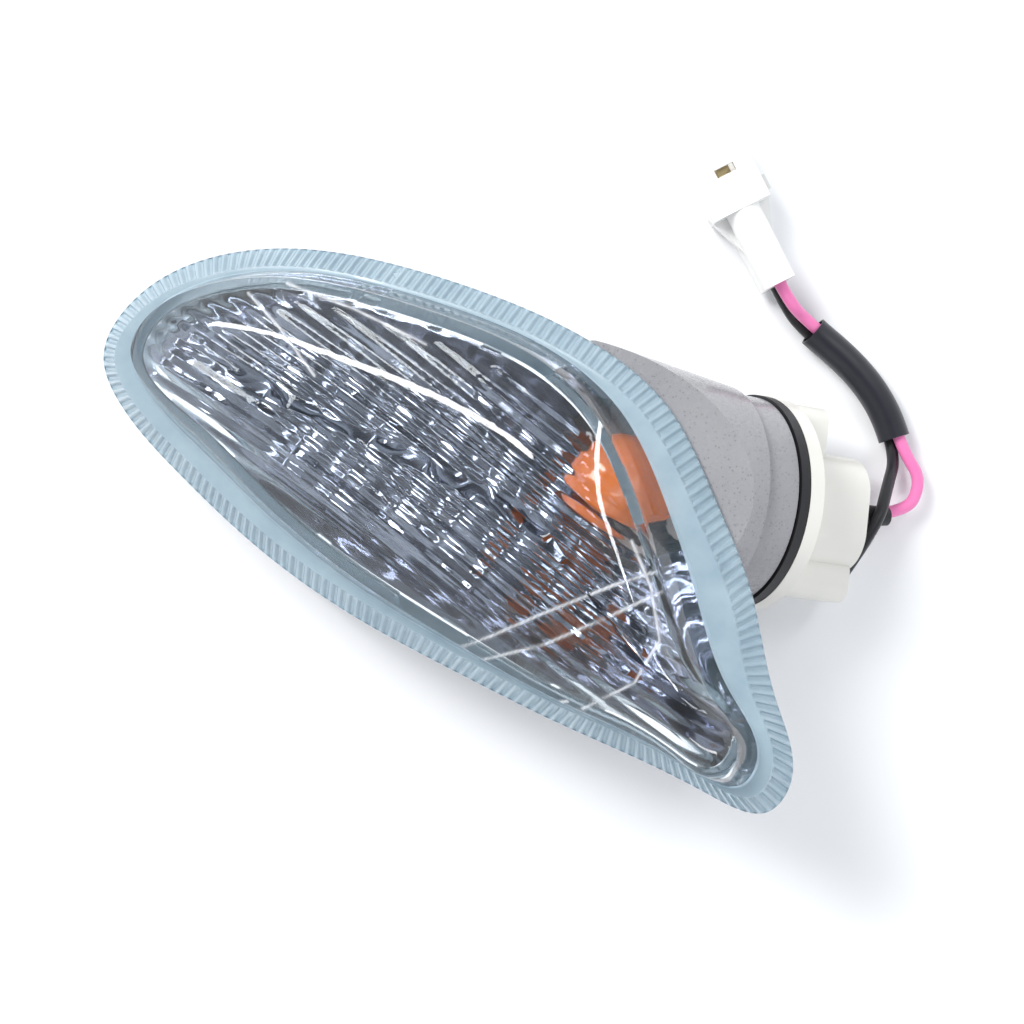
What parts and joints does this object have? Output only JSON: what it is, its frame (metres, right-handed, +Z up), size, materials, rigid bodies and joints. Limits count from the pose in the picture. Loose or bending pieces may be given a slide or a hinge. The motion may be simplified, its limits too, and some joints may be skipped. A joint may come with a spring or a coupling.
{
  "type": "turn signal indicator",
  "caption": "Leaf-shaped vehicle turn signal lamp with clear domed lens, twist-in bulb holder, wedge bulb and a short lead to a two-way connector.",
  "frame": {"origin": "centre of the footprint of the lamp without its leads, on the surface it lies on", "axes": "+X along the longest extent, from the lens's round end towards the bulb holder; +Z up, away from the surface; +Y towards the connector"},
  "size_m": [0.1329, 0.1075, 0.051],
  "materials": {
    "lens": "clear, polished",
    "protective_film": "clear film",
    "housing": "fine speckle, half gloss",
    "reflector": "dark metallised",
    "bulb_holder": "milky",
    "holder_seal": "smooth",
    "contact_live": "tinned",
    "contact_ground": "tinned",
    "bulb_glass": "amber",
    "bulb_filament": "drawn",
    "bulb_supports": "drawn",
    "bulb_bead": "fused",
    "wire_boot": "matt",
    "lead_wire_pink": "extruded",
    "lead_wire_black": "extruded",
    "lead_sleeve": "satin",
    "connector_housing": "moulded",
    "connector_pin_upper": "tinned",
    "connector_pin_lower": "tinned",
    "wire_seal_upper": "soft",
    "wire_seal_lower": "soft",
    "terminal_lock": "moulded"
  },
  "bodies": {
    "lamp": {"lens": "lens", "protective_film": "protective_film", "housing": "housing", "reflector": "reflector"},
    "holder": {"bulb_holder": "bulb_holder", "holder_seal": "holder_seal", "contact_live": "contact_live", "contact_ground": "contact_ground", "wire_boot": "wire_boot", "lead_wire_pink": "lead_wire_pink", "lead_wire_black": "lead_wire_black", "lead_sleeve": "lead_sleeve", "connector_housing": "connector_housing", "connector_pin_upper": "connector_pin_upper", "connector_pin_lower": "connector_pin_lower", "wire_seal_upper": "wire_seal_upper", "wire_seal_lower": "wire_seal_lower"},
    "bulb": {"bulb_glass": "bulb_glass", "bulb_filament": "bulb_filament", "bulb_supports": "bulb_supports", "bulb_bead": "bulb_bead"},
    "lock": {"terminal_lock": "terminal_lock"}
  },
  "joints": [
    {"name": "holder_twist", "type": "hinge", "parent": "lamp", "child": "holder", "pos_m": [0.03759, 0.00382, 0.01712], "axis": [0.8744, -0.1229, -0.4695], "range_deg": [0, 35]},
    {"name": "bulb_pull", "type": "slide", "parent": "holder", "child": "bulb", "axis": [-0.8744, 0.1229, 0.4695], "range_m": [0, 0.009]},
    {"name": "lock_slide", "type": "slide", "parent": "holder", "child": "lock", "axis": [-0.893, -0.45, 0], "range_m": [0, 0.0015]}
  ]
}
